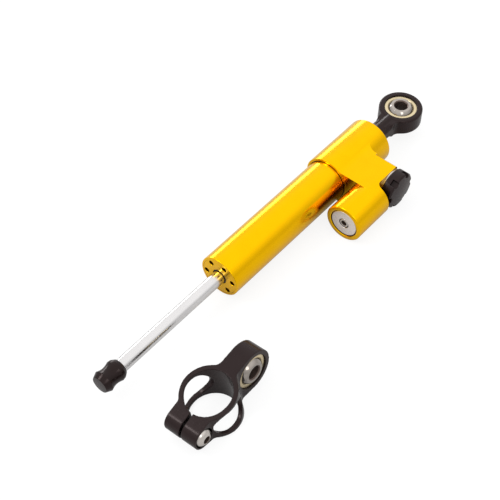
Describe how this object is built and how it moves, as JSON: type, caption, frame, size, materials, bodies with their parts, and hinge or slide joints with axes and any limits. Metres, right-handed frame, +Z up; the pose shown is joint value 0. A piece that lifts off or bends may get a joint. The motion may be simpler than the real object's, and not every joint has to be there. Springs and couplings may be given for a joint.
{
  "type": "motorcycle steering damper",
  "caption": "Linear through-rod steering damper with side reservoir, adjuster knob, spherical rod end and a loose split barrel clamp with its own spherical eye.",
  "frame": {"origin": "on the damper's axis, in the middle of the rod end's ball", "axes": "+X along the rod towards the rod end, +Z up from the table the part lies on, reservoir and loose clamp towards -Y"},
  "size_m": [0.2801, 0.0814, 0.0296],
  "materials": {
    "gold_anodised": "gold-yellow anodised, satin",
    "black_anodised": "black anodised, satin",
    "black_polymer": "black, half gloss",
    "hard_chrome": "ground and hard-chromed",
    "bearing_steel": "polished",
    "race_brass": "turned, pale",
    "plain_aluminium": "turned, bare",
    "zinc_steel": "zinc-plated",
    "dark_steel": "phosphated",
    "seal_rubber": "matt",
    "white_ptfe": "smooth",
    "copper_washer": "annealed"
  },
  "bodies": {
    "damper_body": {"barrel": "gold_anodised", "front_gland": "gold_anodised", "gland_oring": "seal_rubber", "front_bush": "race_brass", "front_rod_seal": "seal_rubber", "front_wiper": "seal_rubber", "head_block": "gold_anodised", "barrel_oring": "seal_rubber", "rear_bush": "race_brass", "rear_rod_seal": "seal_rubber", "rear_wiper": "seal_rubber", "reservoir_plug": "plain_aluminium", "plug_oring": "seal_rubber", "plug_clip": "dark_steel", "fill_screw": "zinc_steel", "fill_washer": "copper_washer", "valve_cartridge": "race_brass", "cartridge_oring": "seal_rubber", "index_washer": "zinc_steel"},
    "rod": {"rod": "hard_chrome", "piston": "plain_aluminium", "piston_ring": "white_ptfe", "piston_clips": "dark_steel", "rod_tip_cap": "black_polymer", "rod_end_housing": "black_anodised", "rod_end_race": "race_brass"},
    "rod_end_ball": {"rod_end_ball": "bearing_steel"},
    "adjuster": {"knob": "black_anodised", "adjuster_stem": "zinc_steel", "stem_oring": "seal_rubber", "detent_ball": "bearing_steel", "detent_spring": "zinc_steel", "metering_pin": "zinc_steel"},
    "compensator": {"floating_piston": "plain_aluminium", "floating_oring": "seal_rubber"},
    "clamp": {"clamp_body": "black_anodised", "clamp_bolt": "zinc_steel", "clamp_race": "race_brass"},
    "clamp_ball": {"clamp_ball": "bearing_steel"}
  },
  "joints": [
    {"name": "rod_slide", "type": "slide", "parent": "damper_body", "child": "rod", "axis": [1, 0, 0], "range_m": [0, 0.075]},
    {"name": "rod_end_tilt", "type": "hinge", "parent": "rod", "child": "rod_end_ball", "pos_m": [0, 0, 0], "axis": [1, 0, 0], "range_deg": [-13, 13]},
    {"name": "adjuster_turn", "type": "hinge", "parent": "damper_body", "child": "adjuster", "pos_m": [-0.0549, -0.00008, 0.0008], "axis": [0, 0.9952, 0.0976], "range_deg": [0, 330]},
    {"name": "compensator_slide", "type": "slide", "parent": "damper_body", "child": "compensator", "axis": [1, 0, 0], "range_m": [-0.003, 0.005]},
    {"name": "clamp_lift", "type": "slide", "parent": "damper_body", "child": "clamp", "axis": [0, 0, 1], "range_m": [0, 0.12]},
    {"name": "clamp_ball_tilt", "type": "hinge", "parent": "clamp", "child": "clamp_ball", "pos_m": [-0.21051, -0.051, -0.0018], "axis": [-0.0889, 0, 0.996], "range_deg": [-13, 13]}
  ]
}
